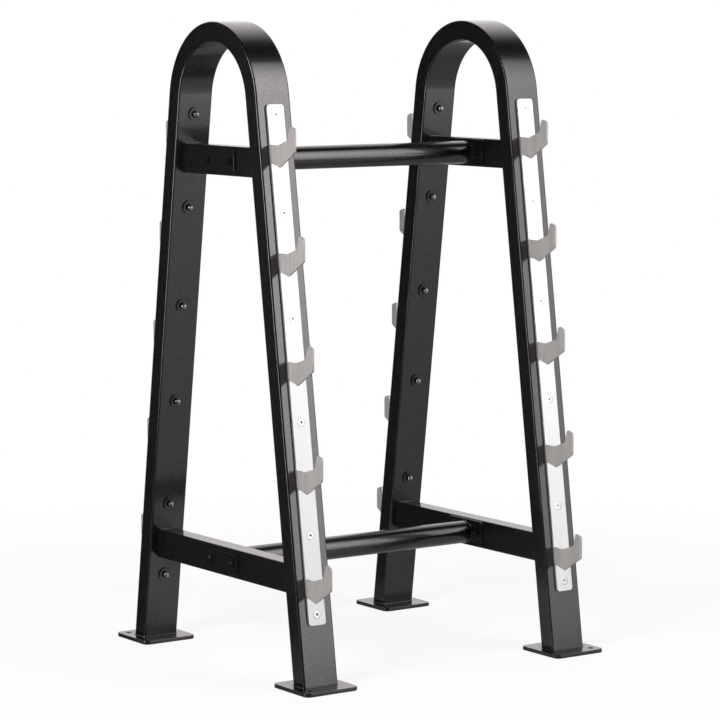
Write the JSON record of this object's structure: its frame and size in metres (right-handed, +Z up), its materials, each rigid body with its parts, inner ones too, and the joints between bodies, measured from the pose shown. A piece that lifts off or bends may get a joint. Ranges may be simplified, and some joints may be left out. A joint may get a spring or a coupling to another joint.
{
  "type": "barbell_storage_rack",
  "caption": "Upright barbell storage rack: two arched box-tube side frames on foot plates, joined by round spreader tubes, with bolted hook rails front and rear.",
  "frame": {"origin": "On the floor, under the middle of the rack's box.", "axes": "+X runs along the stored bars, from the left side frame to the right one. +Y runs from the front legs to the rear legs. +Z is up."},
  "size_m": [0.93, 0.9726, 1.635],
  "materials": {
    "powder_coat": "black powder coat with a fine texture, satin to gloss",
    "bright_steel": "bright steel with a fine grain",
    "black_fastener": "smooth black finish on bolts, washers and cap nuts",
    "zinc_fastener": "bright plated screw heads"
  },
  "bodies": {
    "root": {"left_arch_tube": "powder_coat", "left_upper_cross_member": "powder_coat", "left_upper_flange_plate": "powder_coat", "left_upper_backing_plate": "powder_coat", "left_upper_front_bolt": "black_fastener", "left_upper_rear_bolt": "black_fastener", "left_lower_cross_member": "powder_coat", "left_lower_flange_plate": "powder_coat", "left_lower_backing_plate": "powder_coat", "left_lower_front_bolt": "black_fastener", "left_lower_rear_bolt": "black_fastener", "left_front_foot_plate": "powder_coat", "left_front_hook_rail": "bright_steel", "left_front_rail_screw_1": "black_fastener", "left_front_rail_screw_2": "black_fastener", "left_front_rail_screw_3": "black_fastener", "left_front_rail_screw_4": "black_fastener", "left_front_rail_screw_5": "black_fastener", "left_front_rail_screw_6": "black_fastener", "left_rear_foot_plate": "powder_coat", "left_rear_hook_rail": "bright_steel", "left_rear_rail_screw_1": "black_fastener", "left_rear_rail_screw_2": "black_fastener", "left_rear_rail_screw_3": "black_fastener", "left_rear_rail_screw_4": "black_fastener", "left_rear_rail_screw_5": "black_fastener", "left_rear_rail_screw_6": "black_fastener", "right_arch_tube": "powder_coat", "right_upper_cross_member": "powder_coat", "right_upper_flange_plate": "powder_coat", "right_upper_backing_plate": "powder_coat", "right_upper_front_bolt": "black_fastener", "right_upper_rear_bolt": "black_fastener", "right_lower_cross_member": "powder_coat", "right_lower_flange_plate": "powder_coat", "right_lower_backing_plate": "powder_coat", "right_lower_front_bolt": "black_fastener", "right_lower_rear_bolt": "black_fastener", "right_front_foot_plate": "powder_coat", "right_front_hook_rail": "bright_steel", "right_front_rail_screw_1": "black_fastener", "right_front_rail_screw_2": "black_fastener", "right_front_rail_screw_3": "black_fastener", "right_front_rail_screw_4": "black_fastener", "right_front_rail_screw_5": "black_fastener", "right_front_rail_screw_6": "black_fastener", "right_rear_foot_plate": "powder_coat", "right_rear_hook_rail": "bright_steel", "right_rear_rail_screw_1": "black_fastener", "right_rear_rail_screw_2": "black_fastener", "right_rear_rail_screw_3": "black_fastener", "right_rear_rail_screw_4": "black_fastener", "right_rear_rail_screw_5": "black_fastener", "right_rear_rail_screw_6": "black_fastener", "upper_spreader_tube": "powder_coat", "lower_spreader_tube": "powder_coat"}
  },
  "joints": []
}
